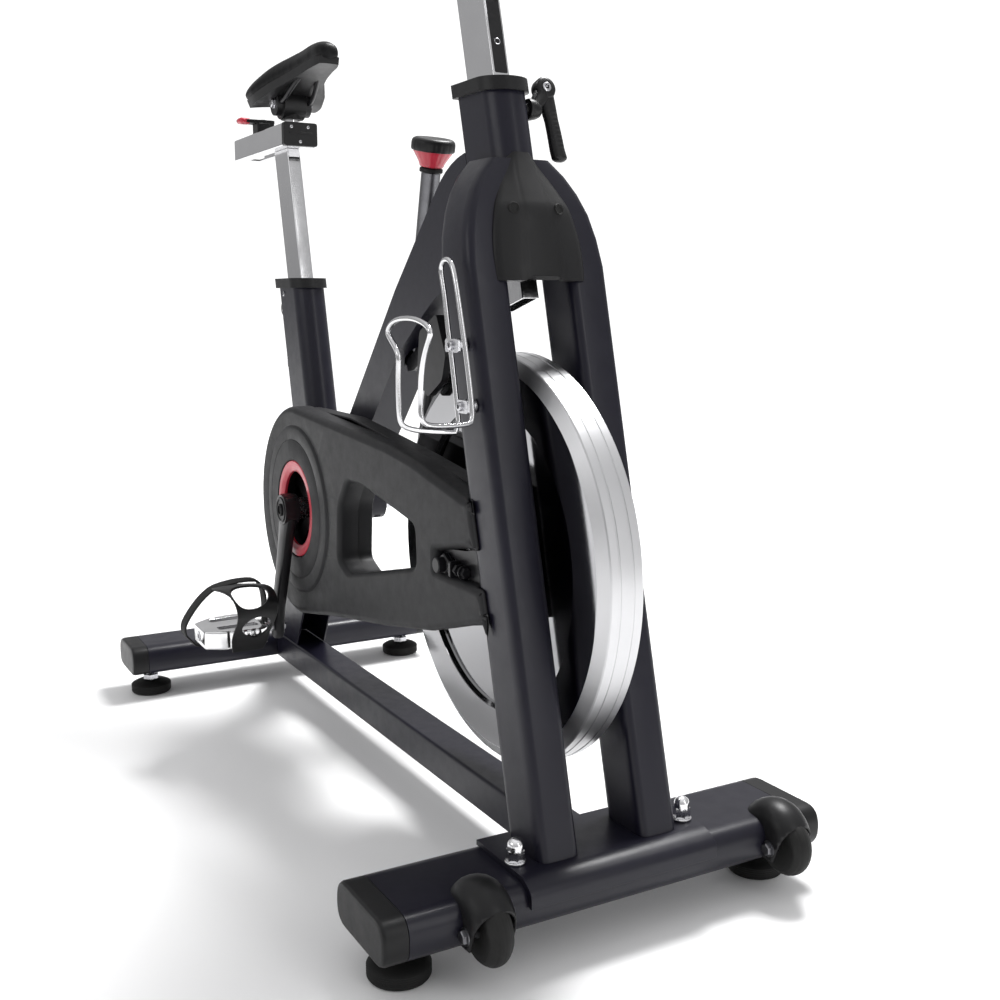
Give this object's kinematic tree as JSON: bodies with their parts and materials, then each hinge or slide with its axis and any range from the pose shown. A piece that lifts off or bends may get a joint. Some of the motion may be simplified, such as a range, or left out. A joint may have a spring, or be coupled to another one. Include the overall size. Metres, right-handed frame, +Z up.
{
  "type": "exercise bike",
  "caption": "Upright indoor exercise bike with an open steel flywheel, belt guard, sliding saddle and handlebar posts, toe-clip pedals and levelling feet.",
  "frame": {"origin": "on the floor, under the middle of the bounding box", "axes": "+X forward (towards the flywheel), +Y to the rider's left, +Z up; the floor is z = 0"},
  "size_m": [1.1875, 0.542, 1.1344],
  "materials": {
    "satin_charcoal_paint": "satin",
    "black_plastic": "fine grained",
    "black_rubber": "matte",
    "matte_guard_plastic": "matte",
    "red_plastic": "semi-gloss",
    "chrome": "bright",
    "bright_steel": "zinc plated",
    "polished_steel": "polished, turned",
    "satin_black_steel": "satin",
    "cast_aluminium": "cast and polished",
    "saddle_cover": "fine grained vinyl",
    "handlebar_foam": "matte dipped foam"
  },
  "bodies": {
    "frame": {"front_stabilizer": "satin_charcoal_paint", "rear_stabilizer": "satin_charcoal_paint", "front_left_end_cap": "black_plastic", "front_right_end_cap": "black_plastic", "rear_left_end_cap": "black_plastic", "rear_right_end_cap": "black_plastic", "fork_leg_right": "satin_charcoal_paint", "fork_leg_left": "satin_charcoal_paint", "front_base_plate": "satin_charcoal_paint", "base_plate_bolt_right": "bright_steel", "base_plate_bolt_left": "bright_steel", "wheel_housing_right": "black_plastic", "wheel_housing_left": "black_plastic", "floor_beam": "satin_charcoal_paint", "head_tube": "satin_charcoal_paint", "seat_tube": "satin_charcoal_paint", "head_collar": "black_plastic", "seat_collar": "black_plastic", "diagonal_tube": "satin_charcoal_paint", "rear_strut": "satin_charcoal_paint", "crown_cover": "black_plastic", "guard_outer": "matte_guard_plastic", "guard_ring": "red_plastic", "guard_inner": "matte_guard_plastic", "drive_belt": "black_rubber", "axle_bracket_right": "bright_steel", "axle_bracket_left": "bright_steel", "flywheel_axle": "bright_steel", "bottle_cage": "chrome"},
    "front_left_foot": {"front_left_foot": "black_rubber"},
    "front_right_foot": {"front_right_foot": "black_rubber"},
    "rear_left_foot": {"rear_left_foot": "black_rubber"},
    "rear_right_foot": {"rear_right_foot": "black_rubber"},
    "transport_wheel_right": {"transport_wheel_right": "black_rubber"},
    "transport_wheel_left": {"transport_wheel_left": "black_rubber"},
    "flywheel": {"flywheel": "polished_steel", "flywheel_pulley": "bright_steel"},
    "crankset": {"crank_axle": "bright_steel", "drive_pulley": "black_plastic", "crank_right": "satin_black_steel", "crank_left": "satin_black_steel"},
    "pedal_right": {"pedal_right": "cast_aluminium", "toe_clip_right": "black_plastic"},
    "pedal_left": {"pedal_left": "cast_aluminium", "toe_clip_left": "black_plastic"},
    "brake_rod": {"brake_rod": "bright_steel"},
    "resistance_knob": {"resistance_knob": "black_plastic"},
    "brake_yoke": {"brake_yoke": "satin_black_steel"},
    "handlebar_post": {"handlebar_post": "chrome"},
    "handlebar_carriage": {"handlebar_carriage": "chrome", "handlebar": "handlebar_foam"},
    "handlebar_slider_lever": {"handlebar_slider_lever": "black_plastic"},
    "seat_post": {"seat_post": "chrome"},
    "seat_slider": {"seat_slider": "chrome", "slider_end_cap": "black_plastic", "saddle_clamp": "black_plastic"},
    "saddle": {"saddle": "saddle_cover"},
    "seat_slider_lever": {"seat_slider_lever": "black_plastic"},
    "head_clamp_lever": {"head_clamp_lever": "black_plastic"},
    "seat_clamp_lever": {"seat_clamp_lever": "black_plastic"}
  },
  "joints": [
    {"name": "flywheel_spin", "type": "hinge", "parent": "frame", "child": "flywheel", "pos_m": [0.3133, 0, 0.363], "axis": [0, 1, 0], "continuous": true},
    {"name": "crank_spin", "type": "hinge", "parent": "frame", "child": "crankset", "pos_m": [-0.1507, 0, 0.357], "axis": [0, 1, 0], "continuous": true},
    {"name": "pedal_right_spin", "type": "hinge", "parent": "crankset", "child": "pedal_right", "pos_m": [-0.17575, -0.189, 0.17875], "axis": [0, 1, 0], "continuous": true},
    {"name": "pedal_left_spin", "type": "hinge", "parent": "crankset", "child": "pedal_left", "pos_m": [-0.12565, 0.189, 0.53525], "axis": [0, 1, 0], "continuous": true},
    {"name": "brake_rod_slide", "type": "slide", "parent": "frame", "child": "brake_rod", "axis": [-0.2288, 0, -0.9735], "range_m": [0, 0.003], "stiffness_N_per_m": 4000, "springref_m": -0.004},
    {"name": "knob_turn", "type": "hinge", "parent": "brake_rod", "child": "resistance_knob", "pos_m": [0.1213, 0, 0.833], "axis": [0.2288, 0, 0.9735], "range_deg": [0, 1080]},
    {"name": "brake_yoke_pivot", "type": "hinge", "parent": "frame", "child": "brake_yoke", "pos_m": [0.2453, 0, 0.655], "axis": [0, 1, 0], "range_deg": [-2.5, 0]},
    {"name": "handlebar_post_slide", "type": "slide", "parent": "frame", "child": "handlebar_post", "axis": [-0.2607, 0, 0.9654], "range_m": [-0.03, 0.1]},
    {"name": "handlebar_carriage_slide", "type": "slide", "parent": "handlebar_post", "child": "handlebar_carriage", "axis": [1, 0, 0], "range_m": [-0.04, 0.04]},
    {"name": "handlebar_slider_lever_turn", "type": "hinge", "parent": "handlebar_carriage", "child": "handlebar_slider_lever", "pos_m": [0.2033, 0, 1.04], "axis": [0, 0, 1], "range_deg": [-80, 80]},
    {"name": "seat_post_slide", "type": "slide", "parent": "frame", "child": "seat_post", "axis": [-0.2288, 0, 0.9735], "range_m": [-0.12, 0.1]},
    {"name": "seat_slider_slide", "type": "slide", "parent": "seat_post", "child": "seat_slider", "axis": [1, 0, 0], "range_m": [-0.04, 0.05]},
    {"name": "saddle_tilt", "type": "hinge", "parent": "seat_slider", "child": "saddle", "pos_m": [-0.3807, 0, 0.96], "axis": [0, 1, 0], "range_deg": [-10, 10]},
    {"name": "seat_slider_lever_turn", "type": "hinge", "parent": "seat_slider", "child": "seat_slider_lever", "pos_m": [-0.5187, 0, 0.927], "axis": [0, 0, 1], "range_deg": [-80, 80]},
    {"name": "head_clamp_lever_turn", "type": "hinge", "parent": "frame", "child": "head_clamp_lever", "pos_m": [0.3022, 0.05, 0.864], "axis": [0, 1, 0], "range_deg": [-60, 60]},
    {"name": "seat_clamp_lever_turn", "type": "hinge", "parent": "frame", "child": "seat_clamp_lever", "pos_m": [-0.3812, 0, 0.634], "axis": [-0.9735, 0, -0.2288], "range_deg": [-60, 60]},
    {"name": "transport_wheel_right_spin", "type": "hinge", "parent": "frame", "child": "transport_wheel_right", "pos_m": [0.5583, -0.163, 0.061], "axis": [0, 1, 0], "continuous": true},
    {"name": "transport_wheel_left_spin", "type": "hinge", "parent": "frame", "child": "transport_wheel_left", "pos_m": [0.5583, 0.213, 0.061], "axis": [0, 1, 0], "continuous": true},
    {"name": "front_left_foot_turn", "type": "hinge", "parent": "frame", "child": "front_left_foot", "pos_m": [0.4933, 0.228, 0.02], "axis": [0, 0, 1], "continuous": true},
    {"name": "front_right_foot_turn", "type": "hinge", "parent": "frame", "child": "front_right_foot", "pos_m": [0.4933, -0.228, 0.02], "axis": [0, 0, 1], "continuous": true},
    {"name": "rear_left_foot_turn", "type": "hinge", "parent": "frame", "child": "rear_left_foot", "pos_m": [-0.5087, 0.232, 0.02], "axis": [0, 0, 1], "continuous": true},
    {"name": "rear_right_foot_turn", "type": "hinge", "parent": "frame", "child": "rear_right_foot", "pos_m": [-0.5087, -0.232, 0.02], "axis": [0, 0, 1], "continuous": true}
  ],
  "couplings": [
    {"joint": "crank_spin", "follows": "flywheel_spin", "ratio": 0.339},
    {"joint": "brake_yoke_pivot", "follows": "knob_turn", "ratio": -0.0023}
  ]
}
